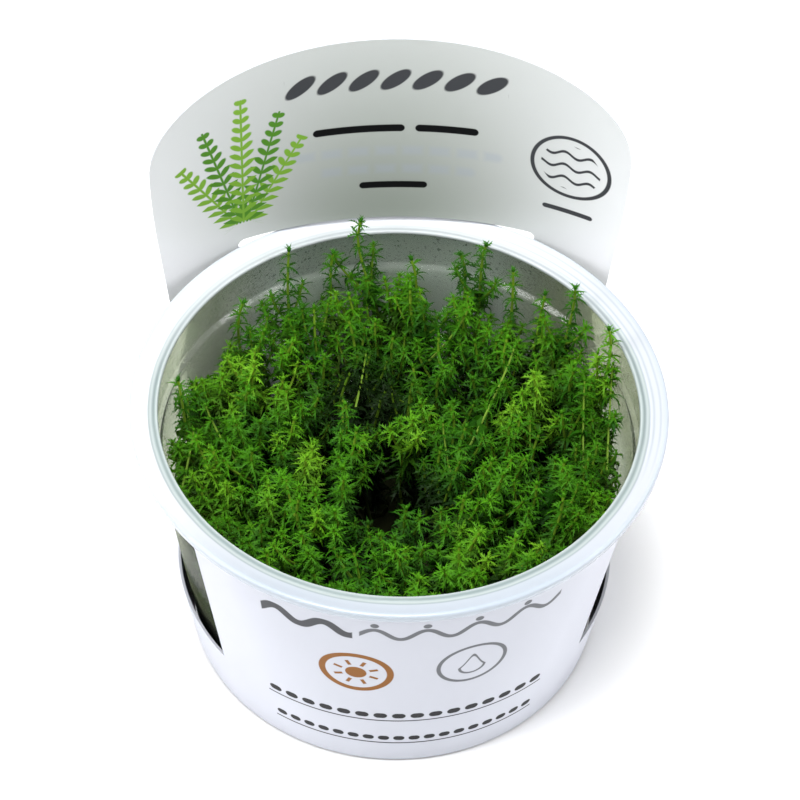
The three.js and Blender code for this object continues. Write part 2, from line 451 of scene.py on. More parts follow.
def clearPlastic(name, finish):
    paint = Paint(name)
    x, y, z = paint.split()
    cloud = paint.noise(0.09, 3.0)
    fine = paint.noise(2.2, 4.0)
    # mist and fine beads, nearly all of them on the collar
    misted = (0.1 + z.rising(40.0, 6.0) * 0.9) * (0.55 + ((cloud - 0.40) * 3.0).clamped() * 0.45)
    beads = ((fine - 0.56) * 9.0).clamped()
    # painted shade: a grey-green tint that darkens the two sides, stronger on the collar
    sides = abs(x).rising(20.0, 14.0) * z.rising(8.0, 8.0)
    sides = sides * (x.rising(-4.0, 8.0) + finish.leftSide).clamped()
    sides = sides * (0.25 + z.rising(38.0, 6.0) * 0.75)
    clear = paint.mix(cloud, (0.84, 0.90, 0.82), (0.78, 0.85, 0.77))
    # painted highlights: bright streaks that run round the wall
    drift = paint.add("ShaderNodeCombineXYZ", {}, {"X": y.aimedAt(x) * 3.4 + z * 0.05, "Y": z * 0.03})
    streak = ((paint.noise(3.0, 3.0, drift) - 0.5) * 5.0).clamped()
    high = z.rising(46.0, 5.0)
    streak = streak * (x.falling(-14.0, 14.0) * (0.3 + 0.7 * high) + x.rising(34.0, 6.0) * high)
    # dark specks high up at the back
    specks = paint.noise(1.3, 2.0).above(0.665) * z.above(50.5) * y.above(22.0)
    colour = paint.over(
        clear, (sides, paint.mix(fine, *finish.sides)),
        (streak * finish.streaks, (0.96, 0.97, 0.94)),
        (beads * misted * (0.35 * finish.mist), (0.95, 0.97, 0.93)),
        (specks * 0.8, (0.10, 0.14, 0.11)))
    if finish.calm:
        # at its two sides the outside mirrors little of the white floor it stands on, and its refraction
        # there has a dark grey-green tint, painted shade
        bent = paint.add("ShaderNodeBsdfRefraction", {},
                         {"Color": (0.34, 0.37, 0.26), "Roughness": 0.03, "IOR": plasticIor})
        plain = Wire(paint, paint.shader.outputs[0])
        share = abs(x).rising(22.0, 12.0) * finish.calm
        both = paint.add("ShaderNodeMixShader", {}, {0: share, 1: plain, 2: bent})
        paint.plug(paint.output.inputs["Surface"], both)
    return paint.finish(
        Base_Color=colour, Roughness=0.04 + misted * (0.16 + 0.14 * fine) * finish.mist,
        Normal=paint.bump(beads * misted, 0.35, 0.0003),
        Transmission_Weight=0.93, IOR=plasticIor, Specular_IOR_Level=finish.shine)


def milkyPlastic():
    # the wide rim is the same plastic, thick enough to look white
    paint = Paint("milkyPlastic")
    x, y, _ = paint.split()
    cloud = paint.noise(0.12, 3.0)
    fine = paint.noise(1.8, 3.0)
    reach = length(x, y) + 0.25 * (cloud - 0.5)
    white = paint.mix(cloud, (0.72, 0.735, 0.765), (0.68, 0.70, 0.74))
    # painted shade: moulded rings round the mouth look grey-green, light and dark in turn
    step = (reach * 5.2 + 0.6).sine() * 0.5 + 0.5
    ringShade = paint.mix(step, (0.26, 0.32, 0.32), (0.50, 0.56, 0.56))
    # painted highlight: the rings fade towards the back, where the rim is lit
    backHighlightFade = 1.0 - y.rising(8.0, 26.0) * 0.55
    # on the right and at the back two more rings catch a grey edge
    grooves = inked(abs(reach - 47.3) - 0.16, 0.4).most(inked(abs(reach - 48.5) - 0.12, 0.4))
    grooves = grooves * (x / 20.0).clamped() * y.rising(-22.0, 12.0)
    # painted shade: the front and the right side of the rim are greyer and bluer than its lit back
    colour = paint.over(
        white, (y.falling(-22.0, 20.0), (0.53, 0.575, 0.64)),
        (x.rising(24.0, 18.0) * 0.9, (0.565, 0.59, 0.65)),
        (inked(abs(reach - 45.5) - 1.05, 0.35) * backHighlightFade, ringShade),
        (inked(abs(reach - 49.6) - 0.5, 0.5) * 0.35, (0.46, 0.55, 0.62)),
        (grooves * 0.5, (0.30, 0.36, 0.34)))
    return paint.finish(
        Base_Color=colour, Roughness=0.16 + 0.10 * fine,
        Normal=paint.bump(cloud + 0.1 * fine, 0.15, 0.0004), Transmission_Weight=0.30, IOR=plasticIor)


def dressCup(cup, c):
    for material in (clearPlastic("clearPlastic", insideFinish), milkyPlastic(),
                     clearPlastic("outerPlastic", outsideFinish)):
        cup.data.materials.append(material)
    for face in cup.data.polygons:
        reach = math.hypot(face.center.x, face.center.y)
        if reach > c.mouthRadius * mm and face.center.z > c.milkyFrom * mm:
            face.material_index = 1
        elif face.center.x * face.normal.x + face.center.y * face.normal.y > 0.3 * reach:
            face.material_index = 2


cup = makeCup(cupShape)
dressCup(cup, cupShape)
dress(cup, "cup", "cup")
print("cup", len(cup.data.polygons), "faces")


# Sleeve

sleeveShape = Settings(
    sheet=0.5, bottom=0.8, baseRadius=39.95, taper=0.1455, band=16.0,
    tongueHalf=53.0, tongueTop=57.0, headerBend=77.0, headerBack=47.7,
    headerLean=0.07, headerFlatFrom=50.0, headerHalf=45.1, shoulder=84.0,
    top=103.0, fullness=0.66, slotHalf=29.0, slotBottom=57.0, slotTop=59.7,
    rimHeight=59.3, sides=192, rows=51,
)


def sheetRadius(s, angle, height):
    # the sheet's distance from the axis, at an angle from straight back
    cone = s.baseRadius + s.taper * height
    back = np.minimum(cone, s.headerBack + s.headerLean * (height - s.rimHeight))
    flat = smooth((height - s.band) / (s.headerFlatFrom - s.band))
    bend = 1 / ((1 - flat) / cone + flat / s.headerBend)
    centre = back - bend
    arc = centre * np.cos(angle) + np.sqrt(bend ** 2 - (centre * np.sin(angle)) ** 2)
    return arc + (cone - arc) * smooth((np.abs(angle) - 1.1) / 0.4)


def bezier(a, b, c, d, steps):
    points = []
    for i in range(1, steps + 1):
        t = i / steps
        u = 1 - t
        points.append(tuple(u ** 3 * p + 3 * u * u * t * q + 3 * u * t * t * r + t ** 3 * w
                            for p, q, r, w in zip(a, b, c, d)))
    return points


def headerEdge(s):
    # the right half of the header's outline, from its foot to its top
    half, shoulder, top = s.headerHalf, s.shoulder, s.top
    full = s.fullness
    lower = [(half - 5.9, -5), (half - 5.9, s.band), (half - 1.2, 64)]
    a, b, c = (half - 1.2, 64), (half, shoulder - 8), (half, shoulder)
    first = tuple(p + (q - p) * 2 / 3 for p, q in zip(a, b))
    second = tuple(r + (q - r) * 2 / 3 for r, q in zip(c, b))
    crown = bezier(c, (half, shoulder + full * (top - shoulder)), (full * half, top), (0, top), 36)
    return lower + bezier(a, first, second, c, 8) + crown


def cutter(name, outline, start, end, plane="XZ"):
    # a flat outline pulled out to a solid, in millimetres
    piece = drawOutline(name, [(across, start, up) if plane == "XZ" else (across, up, start)
                               for across, up in outline])
    bpy.ops.mesh.edge_face_add()
    extrude((0, (end - start) * mm, 0) if plane == "XZ" else (0, 0, (end - start) * mm))
    turnOutwards()
    return piece


def makeSleeve(s):
    tall = s.top + 1 - s.bottom
    sleeve = startPiece("printed_sleeve", bpy.ops.mesh.primitive_cylinder_add, vertices=s.sides,
                        radius=50 * mm, depth=tall * mm, end_fill_type="NOTHING",
                        location=(0, 0, (s.bottom + tall / 2) * mm))
    editMode()
    selectEdges(sleeve, lambda a, b: abs(a.z - b.z) > 0.01)
    bpy.ops.mesh.subdivide(number_cuts=s.rows)
    objectMode()
    places = pointsOf(sleeve)
    angle = np.arctan2(places[:, 0], places[:, 1])
    radius = sheetRadius(s, angle, places[:, 2] / mm) * mm
    movePoints(sleeve, np.stack([radius * np.sin(angle), radius * np.cos(angle), places[:, 2]], 1))
    applyModifier(sleeve, "SOLIDIFY", thickness=s.sheet * mm, offset=0.0, use_even_offset=True)

    right = headerEdge(s)
    left = [(-x, z) for x, z in reversed(right[:-1])]
    header = cutter("headerCutter", right + left, 5, 90)
    band = cutter("bandCutter", [(-100, -100), (100, -100), (100, 100), (-100, 100)], -5, s.band, "XY")
    reach = 120
    side = reach * math.tan(math.radians(s.tongueHalf))
    tongue = cutter("tongueCutter", [(0, 0), (-side, -reach), (side, -reach)], -5, s.tongueTop, "XY")
    halfSlot = (s.slotTop - s.slotBottom) / 2
    middle = s.slotBottom + halfSlot
    turns = [math.radians(degrees) for degrees in range(-90, 91, 15)]
    slotRight = [
        (s.slotHalf - halfSlot + halfSlot * math.cos(turn), middle + halfSlot * math.sin(turn))
        for turn in turns]
    slotLeft = [(-x, 2 * middle - z) for x, z in slotRight]
    slot = cutter("slotCutter", slotRight + slotLeft, 30, 70)

    for piece, kind, tool in ((header, "UNION", band), (header, "UNION", tongue),
                              (sleeve, "INTERSECT", header), (sleeve, "DIFFERENCE", slot)):
        applyModifier(piece, "BOOLEAN", operation=kind, object=tool, solver="EXACT")
    for piece in (header, band, tongue, slot):
        dropPiece(piece)
    shadeSoftly(sleeve, 30)
    return sleeve


# painted light and shade: the sheet's inside and outside are one paper, the inside painted lighter and
# the outside darker
sleeveInks = {
    "sheet": (0.59, 0.605, 0.66), "sheetCool": (0.56, 0.575, 0.635),
    "inside": (0.89, 0.895, 0.92), "insideCool": (0.87, 0.88, 0.91), "shade": (0.28, 0.31, 0.275),
    "dark": (0.050, 0.052, 0.058), "black": (0.006, 0.006, 0.007), "grey": (0.115, 0.12, 0.13),
    "orange": (0.215, 0.075, 0.002), "leaf": (0.19, 0.38, 0.045), "leafDeep": (0.08, 0.23, 0.025),
    "ghost": (0.36, 0.40, 0.48), "front": (0.49, 0.505, 0.555),
}


def startMarks(inks, mask, ink):
    # the list of masks with their inks, and a short way to add a sharp mark to it
    marks = [(mask, inks[ink])]

    def lay(shape, ink, edge=0.16):
        marks.append((inked(shape, edge), inks[ink]))

    return marks, lay


def frond(x, y, tall, spacing, leafLength, leafWidth, slant):
    # one upright stem with pairs of plain pointed leaves that shorten towards its tip
    stem = bar(y - tall / 2, x, tall / 2, 0.22)
    step = y % spacing
    share = 1 - 0.75 * (y / tall).clamped()
    along, across = turnedBy(abs(x), step - spacing * 0.18, slant)
    bent = along - leafLength * 0.5 * share
    leaf = length(bent / (leafLength * 0.5 * share + 0.05), across / (leafWidth * 0.5)) - 1.0
    inReach = (abs(y - tall * 0.5) - tall * 0.5).most(leaf * leafWidth * 0.5)
    return stem.least(inReach)


def headerMarks(paint, inks):
    x, _, z = paint.split()
    # painted shade: a soft grey-green shade over the header, deepest at its foot, lighter below the slot
    wide = (x / 40.0) * (x / 40.0)
    rise = (z - 60.0) / 40.0
    bright = 0.29 + 0.19 * rise + wide * (0.66 - 0.40 * rise) - 0.11 * wide * wide
    below = z.falling(58.0, 3.0)
    marks, lay = startMarks(inks, bright.falling(0.89, 0.61) * (1 - below * 0.65), "shade")
    # a soft print that shows through from the back
    for across, up, half in ((2.0, 76.5, 20.0), (2.0, 72.0, 15.0)):
        dash = abs((x + 60.0) % 5.2 - 2.6) - 1.9
        ghost = bar(x - across, z - up, half, 1.0).most(dash)
        marks.append((inked(ghost, 1.0) * 0.4, inks["ghost"]))
    # top: a row of seven slanted leaves
    slot = (x - 1.5 + 21.0) % 6.0 - 3.0
    tilted, rise = turnedBy(slot, z - 93.6, 38)
    leaf = length(tilted / 3.5, rise / 1.45) - 1.0
    row = (leaf * 1.4).most(abs(x - 1.5) - 21.0)
    lay(row, "dark", 0.2)
    # middle: two plain bars and a small one under them
    lay(bar(x + 5.4, z - 82.0, 8.8, 0.85), "black")
    lay(bar(x - 11.4, z - 82.0, 6.0, 0.85), "black")
    lay(bar(x - 1.4, z - 68.0, 6.6, 0.8), "black")
    # left: five green fronds on one foot
    fronds = ((30, 21.0, -1.2, "leaf"), (-30, 21.0, 1.2, "leaf"), (15, 26.0, -0.6, "leafDeep"),
              (-15, 26.0, 0.6, "leafDeep"), (0, 30.0, 0.0, "leaf"))
    for lean, tall, foot, ink in fronds:
        a, b = turnedBy(x + 27.8 - foot, z - 64.0, lean)
        lay(frond(a, b, tall, 2.2, 5.2, 1.15, 40), ink)
    # right: a ring with three waves in it, and a short bar under it
    a, b = x - 34.6, z - 78.4
    lay(ring(a, b, 7.0, 0.75), "dark")
    wave = (abs((b + 0.55 * (a * 1.35).sine() + 4.5) % 3.0 - 1.5) - 0.32).most(disc(a, b, 5.4))
    lay(wave, "dark")
    lay(bar(a, z - 67.6, 4.6, 0.55), "dark")
    return marks


def tongueMarks(paint, inks):
    x, y, z = paint.split()
    arc = x.aimedAt(-y) * 46.0      # millimetres round the front, to the right
    # painted shade: the middle of the front is darker than its sides
    marks, lay = startMarks(inks, y.falling(-34.0, 8.0) * 0.75, "front")
    # top: a chain of rounded waves, thick and dark on the left, thin and grey with dots on the right
    phase = arc * 0.70
    steep = (1 + 1.1 * (phase + math.pi / 2).sine() ** 2).root()
    swell = abs(z - 50.6 - 1.5 * phase.sine()) / steep
    reach = abs(arc) - 27.5
    lay((swell - 1.0).most(reach).most(arc + 10.6), "dark", 0.2)
    lay((swell - 0.55).most(reach).most(-9.4 - arc), "grey", 0.2)
    drop = disc((arc + 2.2 + 89.8) % 8.976 - 4.488, z - 53.6, 0.75)
    lay(drop.most(reach).most(-9.4 - arc), "grey")
    # an orange ring with a sun in it
    a, b = arc + 10.2, z - 35.4
    lay(ring(a, b, 6.4, 1.3), "orange")
    lay(disc(a, b, 2.0), "orange")
    turn = b.aimedAt(a)
    ray = abs((turn * (8 / (2 * math.pi))) % 1.0 - 0.5) * length(a, b) * 0.785 - 0.36
    rays = ray.most(abs(length(a, b) - 3.6) - 0.85)
    lay(rays, "orange")
    # a grey ring with a drop in it
    a, b = arc - 11.4, z - 37.0
    lay(ring(a, b, 6.4, 0.8), "grey")
    rise = (b + 1.2).most(0.0)
    drop = length(a * (1.0 + 0.36 * rise), b + 1.2 - 0.42 * rise) - 2.4
    lay(abs(drop) - 0.28, "grey")
    # foot: two rows of short bars, each over a thin line
    for up, pitch, tall, reach in ((19.0, 3.7, 0.95, 29.6), (9.8, 3.2, 0.85, 28.8)):
        step = (arc + 100 * pitch) % pitch - pitch / 2
        row = bar(step, z - up, pitch * 0.37, tall).most(abs(arc) - reach)
        lay(row, "black")
        lay(bar(arc, z - up + 2.0, reach, 0.2), "black")
    return marks


def sleeveMaterial(name, inks, marksOf):
    # satin sheet: a very faint cloud in its colour, gloss and surface
    paint = Paint(name)
    cloud = paint.noise(0.05, 2.0)
    grain = paint.noise(3.0, 3.0)
    # painted light and shade: the inside's tones are lighter than the outside's
    tones = ("inside", "insideCool") if marksOf == headerMarks else ("sheet", "sheetCool")
    marks = marksOf(paint, inks) if marksOf else []
    colour = paint.over(paint.mix(cloud, inks[tones[0]], inks[tones[1]]), *marks)
    return paint.finish(
        Base_Color=colour, Roughness=0.36 + 0.10 * cloud + 0.05 * grain,
        Normal=paint.bump(cloud * 0.6 + grain * 0.02, 0.12, 0.0006), Specular_IOR_Level=0.1)


def dressSleeve(sleeve, inks):
    finishes = (("sleeveEdge", None), ("sleeveInside", headerMarks), ("sleeveOutside", tongueMarks))
    for name, marksOf in finishes:
        sleeve.data.materials.append(sleeveMaterial(name, inks, marksOf))
    for face in sleeve.data.polygons:
        outward = Vector((face.center.x, face.center.y, 0)).normalized().dot(face.normal)
        if outward < -0.6 and face.center.y > 0:
            face.material_index = 1
        elif outward > 0.6 and face.center.y < 0:
            face.material_index = 2


sleeve = makeSleeve(sleeveShape)
dressSleeve(sleeve, sleeveInks)
dress(sleeve, "sleeve", "sleeve")
print("sleeve", len(sleeve.data.polygons), "faces")


# Gel

gelShape = Settings(top=12.0, gap=0.3, turns=96, waves=0.18, wavesReach=37)


def makeGel(g):
    bottom = cupShape.floorThickness + g.gap
    gel = startPiece("nutrient_gel", bpy.ops.mesh.primitive_cylinder_add, vertices=g.turns,
                     radius=(innerRadius(g.top) - g.gap) * mm, depth=(g.top - bottom) * mm,
                     location=(0, 0, (g.top + bottom) / 2 * mm))
    editMode()
    selectFaces(gel, lambda middle, normal: normal.z < -0.9)
    share = (innerRadius(bottom) - 1.6) / (innerRadius(g.top) - g.gap)
    bpy.ops.transform.resize(value=(share, share, 1))
    selectFaces(gel, lambda middle, normal: normal.z > 0.9)
    for inset in (1.2, 6.0, 8.0, 8.0, 8.0):
        bpy.ops.mesh.inset(thickness=inset * mm)
    bpy.ops.mesh.poke()
    objectMode()
    places = pointsOf(gel)
    radius = np.hypot(places[:, 0], places[:, 1]) / mm
    upper = places[:, 2] > (g.top - 0.1) * mm
    ripple = np.sin(places[:, 0] / mm * 0.31) * np.cos(places[:, 1] / mm * 0.27) * g.waves - g.waves
    places[:, 2] += np.where(upper & (radius < g.wavesReach), ripple * mm, 0)
    movePoints(gel, places)
    softenEdges(gel, 0.3, 40)
    shadeSoftly(gel, 45)
    paint = Paint("nutrientGel")
    cloud = paint.noise(0.12, 4.0)
    colour = paint.mix(cloud, (0.035, 0.040, 0.014), (0.020, 0.024, 0.008))
    gel.data.materials.append(paint.finish(
        Base_Color=colour, Roughness=0.42 + 0.2 * cloud, Normal=paint.bump(cloud, 0.2, 0.0006),
        Transmission_Weight=0.15, IOR=1.34, Specular_IOR_Level=0.15))
    return gel


gel = makeGel(gelShape)
dress(gel, "gel", "gel")
print("gel")


# Plants: one leaf, its whorls and the sprigs made of them

leafShape = Settings(
    length=3.0, rib=0.23, flat=0.5, stalk=0.45, lobeWidth=0.40, space=0.20,
    lobes=(0.50, 0.50, 0.38), sweep=0.80, tip=0.90, taper=0.93, fold=0.15, blade=3.6,
)


def makeLeaf(f):
    # a thin three-sided rib drawn out along X, with three pairs of narrow pointed lobes and a pointed tip
    leaf = startPiece("leaf", bpy.ops.mesh.primitive_cylinder_add, vertices=3,
                      radius=f.rib * mm, depth=f.stalk * mm,
                      location=(f.stalk / 2 * mm, 0, 0), rotation=(0, math.pi / 2, 0))
    places = pointsOf(leaf)
    places[:, 2] = (places[:, 2] if places[:, 2].max() > 0.1 * mm else -places[:, 2]) * f.flat
    movePoints(leaf, places)
    editMode()
    reach = f.stalk
    for step in (f.lobeWidth, f.space, f.lobeWidth, f.space, f.lobeWidth):
        selectFaces(leaf, lambda middle, normal: normal.x > 0.9 and middle.x > (reach - 0.01) * mm)
        extrude((step * mm, 0, 0))
        bpy.ops.transform.resize(value=(1, f.taper, f.taper))
        reach += step
    selectFaces(leaf, lambda middle, normal: normal.x > 0.9 and middle.x > (reach - 0.01) * mm)
    extrude((f.tip * mm, 0, 0))
    mergeSelected()
    for i, lobe in enumerate(f.lobes):
        middleX = f.stalk + f.lobeWidth / 2 + i * (f.lobeWidth + f.space)
        for side in (1, -1):
            selectFaces(leaf, lambda middle, normal: abs(middle.x - middleX * mm) < 0.1 * mm
                        and normal.y * side > 0.3)
            extrude(Vector((f.sweep * lobe, side * lobe, 0)) * mm)
            mergeSelected()
    turnOutwards()
    places = pointsOf(leaf)
    places[:, 2] += np.abs(places[:, 1]) * f.fold
    movePoints(leaf, places)
    paintPoints(leaf, along=np.clip(places[:, 0] / (f.length * mm), 0, 1))
    pickOnly(leaf)
    bpy.ops.object.shade_flat()
    return leaf


def makeOldLeaf(f, cuts):
    # the leaf of the low whorls, which hang in the dark: a plain three-sided blade
    leaf = startPiece("plainLeaf", bpy.ops.mesh.primitive_cone_add, vertices=3,
                      radius1=f.rib * mm, radius2=0, depth=f.length * mm,
                      location=(f.length / 2 * mm, 0, 0), rotation=(0, math.pi / 2, 0))
    editMode()
    selectEdges(leaf, lambda a, b: abs(a.x - b.x) > 1 * mm)
    bpy.ops.mesh.subdivide(number_cuts=cuts)
    objectMode()
    places = pointsOf(leaf)
    share = places[:, 0] / (f.length * mm)
    places[:, 1] *= 1 + f.blade * np.sin(np.clip(share, 0, 1) * math.pi)
    movePoints(leaf, places)
    paintPoints(leaf, along=np.clip(share, 0, 1))
    return leaf


def bentLeaf(leaf, name, rise, droop):
    # a copy that rises at an angle and bends down, or up, towards its tip
    twin = copyPiece(leaf, name)
    places = pointsOf(twin)
    share = places[:, 0] / (leafShape.length * mm)
    angle = math.radians(rise) - math.radians(droop) * share
    lift = places[:, 2].copy()
    along = places[:, 0].copy()
    places[:, 0] = along * np.cos(angle) - lift * np.sin(angle)
    places[:, 2] = along * np.sin(angle) + lift * np.cos(angle)
    movePoints(twin, places)
    return twin


def plainWhorls(size, *depths):
    # five plain leaves at each depth
    return [(depth, size, "plain", 5) for depth in depths]


# how a sprig is built, from its tip down: depth of each whorl, its size, its leaf form and its leaves
mainSprig = [
    (0.8, 0.46, "young", 5), (1.9, 0.84, "open", 6), (4.1, 1.06, "open", 6), (6.9, 1.14, "old", 7),
    (10.2, 1.16, "old", 7), (13.6, 1.2, "plain", 6), (16.2, 1.25, "plain", 5),
    *plainWhorls(1.3, 19.0, 21.8, 24.6, 27.4, 30.2), (33.0, 1.2, "plain", 5),
]
tallSprig = [
    (0.8, 0.44, "young", 6), (2.1, 0.78, "open", 6), (4.6, 0.95, "old", 6), (8.0, 1.0, "old", 6),
    (11.8, 1.02, "old", 6), (15.8, 1.0, "old", 5), (20.0, 1.0, "plain", 5), (24.6, 1.1, "plain", 5),
    *plainWhorls(1.3, 27.4, 30.2, 33.0, 36.0), (39.0, 1.2, "plain", 5),
]
sideSprig = [
    (0.6, 0.44, "young", 4), (1.5, 0.82, "open", 6), (3.4, 1.02, "open", 6), (5.9, 1.08, "old", 6),
    (9.0, 1.1, "plain", 5),
]
deepSprig = [
    (depth, size, "old" if form == "plain" else form, count)
    for depth, size, form, count in mainSprig[:-3]
]
wallSprig = [
    (0.6, 0.8, "blade", 4), (2.2, 1.2, "blade", 5), (4.0, 1.4, "blade", 5), (5.8, 1.4, "blade", 5),
    (7.6, 1.3, "blade", 5),
]
# each kind's plan, the size of its bud, and how many of it are made to choose from
sprigKinds = {
    "main": (mainSprig, 1.0, 5), "tall": (tallSprig, 1.1, 3), "side": (sideSprig, 0.75, 5),
    "low": (mainSprig[:-5], 1.0, 3), "deep": (deepSprig, 1.0, 3), "wall": (wallSprig, 0.75, 3),
}
budShape = Settings(radius=0.42, stretch=1.0 / 0.42 / 1.6)


def makeSprig(name, plan, forms, bud, budSize):
    # upright, its tip at the origin
    parts = []
    top = copyPiece(bud, "bud")
    top.data.transform(Matrix.Translation((0, 0, -0.55 * mm * budSize)) @ Matrix.Scale(budSize, 4))
    if budSize > 1:
        paintPoints(top, along=-1.0)      # darker
    parts.append(top)
    for depth, size, form, count in plan:
        start = dice.uniform(0, 2 * math.pi)
        for i in range(count):
            leaf = copyPiece(forms[form], "leafCopy")
            turn = start + 2 * math.pi * i / count + dice.uniform(-0.16, 0.16)
            scale = size * dice.uniform(0.86, 1.12)
            tilt = math.radians(dice.uniform(-20, 20))
            twist = math.radians(dice.uniform(-30, 30))
            drop = (depth + dice.uniform(-0.12, 0.12)) * mm
            leaf.data.transform(
                Matrix.Translation((0, 0, -drop)) @ Matrix.Rotation(turn, 4, "Z")
                @ Matrix.Rotation(tilt, 4, "Y") @ Matrix.Rotation(twist, 4, "X") @ Matrix.Scale(scale, 4))
            paintPoints(leaf, depth=min(1.0, depth / 20))
            parts.append(leaf)
    return joinPieces(parts, name)


def makeStem(name, sides, cuts):
    # a unit stem from Z 0 to Z 1, bent into place later
    stem = startPiece(name, bpy.ops.mesh.primitive_cylinder_add, vertices=sides, radius=1, depth=1,
                      location=(0, 0, 0.5))
    editMode()
    selectEdges(stem, lambda a, b: abs(a.z - b.z) > 0.5)
    bpy.ops.mesh.subdivide(number_cuts=cuts)
    objectMode()
    paintPoints(stem, along=0.0, depth=1.0)
    shadeSoftly(stem, 60)
    return stem


def makeBud(b):
    bud = startPiece("bud", bpy.ops.mesh.primitive_ico_sphere_add, subdivisions=1,
                     radius=b.radius * mm)
    editAll()
    bpy.ops.transform.resize(value=(1, 1, b.stretch))
    objectMode()
    paintPoints(bud, along=0.3, depth=0.0)
    shadeSoftly(bud, 80)
    return bud


# Plants: where each shoot stands, as in the frame

plantShape = Settings(
    gelTop=12.0, gap=0.3, plantCount=48, shootCount=122, field=40.0,
    canopyTop=51.0, unevenness=4.5, whorlRadius=2.8, driftLean=3.0, tallRoom=4.7,
    clearing=(0.0, -12.0), clearingRadius=5.0,
    hollow=(-4.0, 12.0), hollowRadius=9.0, hollowDip=9,
    crownField=35.5, rootSpread=0.3, stemRadius=0.34,
    # shoots under lowBelow are short, those round the clearing are leafy far down
    lowBelow=48.5, deepReach=14.0, deepAbove=44, loftyAbove=62, outerField=31.0,
    # pale shoots, and shoots dimmed as painted shade round the clearing and in the hollow
    paleSpots=[(-2.6, -1.0), (-17.5, -6.5), (-27.0, 14.0), (24.0, 8.5)],
    paleReach=3.6, paleTint=1.2,
    dimReach=10.3, dimSpot=(-6.0, 18.0), dimSpotReach=6.5, dimTint=-0.5,
    # no side shoot comes nearer to the clearing's middle or to the wall
    openRadius=8.0, wallMargin=1.1, leafGap=0.25, freeAbove=56.0,
)
sideShape = Settings(
    count=3, more=2, spacing=1.8, drop=(0.5, 5.5), outerDrop=(-1.5, 2.5),
    loftyDrop=5.5, tallDrop=9.0, length=(8.0, 12.0), reach=(2.6, 5.6), turn=2.2,
    size=(0.9, 1.1), thin=0.72, bow=0.8,
)
wallShape = Settings(
    windowFrom=24.0, count=10, lowest=21.5, spacing=2.4, length=7.5, zigzag=0.07,
    gap=1.3, thin=0.6, bow=0.4,
)
strayShape = Settings(thin=0.6, bow=0.7, stemTint=2.0, leafTint=0.5, lowerSize=0.8)
# tip and lean of the shoots that stand above the others
tallShoots = [
    ((-5, 40.5, 66.5), (-6, 3.5)), ((-19.2, 36.8, 63), (0, 0)), ((-10.5, 39.4, 58.8), (0, 0)),
    ((4.5, 40.3, 56), (1, 1)), ((13.8, 37.9, 59), (0, 0)), ((19, 36.3, 63), (0, 0)),
    ((24, 33, 59.5), (0, 0)), ((30, 27.8, 58), (1, 0)), ((34.6, 22.3, 65), (3, 1)),
    ((39.8, 11.8, 65), (2, -1)), ((-28, 28.5, 57), (0, 0)), ((-40.9, 6.8, 60), (-1, 0)),
]
# foot and tip of the long, pale side shoots that lean over the others
strayShoots = [
    ((14.2, 0.1, 47), (22.9, 14.9, 57)), ((9.7, -8.4, 45), (8.1, -1.6, 55)),
    ((35.1, -4, 42), (35.7, 7.8, 55)), ((39.6, -4.2, 42), (41.3, 10.7, 56)),
    ((-29.3, -3.8, 44), (-36, 5.2, 54)), ((-40.2, -3.9, 44), (-38.3, 2.6, 50)),
    ((8.5, 24.4, 44), (15.3, 27.1, 56)), ((-7.2, 11.3, 46), (-5.2, 17.4, 54)),
]


def evenNoise(seed):
    value = math.sin(seed * 127.1 + 311.7) * 43758.5453
    return value - math.floor(value)


def spreadPoint(index, count, radius):
    turn = index * math.pi * (3 - math.sqrt(5))
    distance = radius * math.sqrt((index + 0.5) / count)
    return Vector((distance * math.cos(turn), distance * math.sin(turn)))


def isNear(tip, spot, reach):
    return math.hypot(tip[0] - spot[0], tip[1] - spot[1]) < reach


def listShoots(p):
    shoots = [Settings(tip=Vector(tip), lean=Vector(lean), tall=True) for tip, lean in tallShoots]
    for i in range(p.shootCount):
        place = spreadPoint(i, p.shootCount, p.field)
        nearTall = any(isNear(tip, place, p.tallRoom) for tip, lean in tallShoots)
        inClearing = (place - Vector(p.clearing)).length < p.clearingRadius + p.whorlRadius
        if nearTall or inClearing:
            continue
        fromHollow = (place - Vector(p.hollow)).length / p.hollowRadius
        dip = p.hollowDip * (1 - float(smooth(fromHollow)))
        height = p.canopyTop - dip + p.unevenness * (2 * evenNoise(i) - 1)
        drift = place.x / 15 + place.y / 11
        x, y = place.x + evenNoise(i + 240) - 0.5, place.y + evenNoise(i + 630) - 0.5
        lean = Vector((math.cos(drift), math.sin(drift))) * p.driftLean
        shoots.append(Settings(tip=Vector((x, y, height)), lean=lean, tall=False))
    return shoots


def listPlants(p):
    crowns = [spreadPoint(i, p.plantCount, p.crownField) for i in range(p.plantCount)]
    families = [[] for crown in crowns]
    for shoot in listShoots(p):
        distances = [(crown * 1.1 - shoot.tip.xy).length for crown in crowns]
        families[distances.index(min(distances))].append(shoot)
    plants = []
    for crown, family in zip(crowns, families):
        if not family:
            continue
        middle = sum((shoot.tip.xy for shoot in family), Vector((0, 0))) / len(family)
        for shoot in family:
            foot = crown + (shoot.tip.xy - middle) * p.rootSpread
            shoot.root = Vector((foot.x, foot.y, p.gelTop + p.gap + 0.4))
        plants.append((crown, family))
    return plants


def stemPath(shoot, height):
    # the middle of the stem at each height, in millimetres
    root, tip, lean = shoot.root, shoot.tip, shoot.lean
    along = np.clip((height - root.z) / (plantShape.canopyTop - root.z), 0, 1)
    spread = 1 - (1 - along) ** 2.2
    over = smooth((height - 30) / (tip.z - 30)) - 1
    x = root.x + (tip.x - root.x) * spread + lean.x * over * spread
    y = root.y + (tip.y - root.y) * spread + lean.y * over * spread
    return np.stack([x, y, height], -1)


